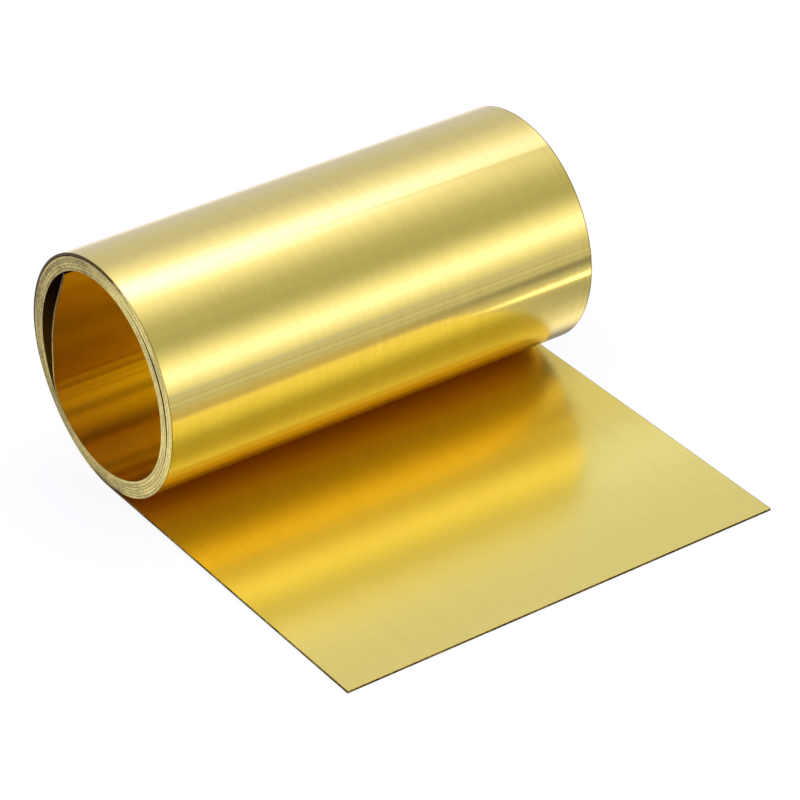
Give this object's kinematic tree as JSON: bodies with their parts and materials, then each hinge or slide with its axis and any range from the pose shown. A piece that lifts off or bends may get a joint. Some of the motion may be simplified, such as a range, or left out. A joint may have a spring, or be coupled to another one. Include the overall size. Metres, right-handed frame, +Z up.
{
  "type": "brass sheet roll",
  "caption": "Thin brass sheet wound into an open coil that lies on its side, with its outer end unrolled flat in front.",
  "frame": {"origin": "middle of the underside: the centre of the box around the whole roll, at floor height", "axes": "+X along the coil's axis, +Z up, and the unrolled end of the sheet points to -Y"},
  "size_m": [0.1, 0.1074, 0.0505],
  "materials": {
    "brass": "satin, rolled, with fine lines along the sheet"
  },
  "bodies": {
    "root": {"brass_sheet": "brass"}
  },
  "joints": []
}
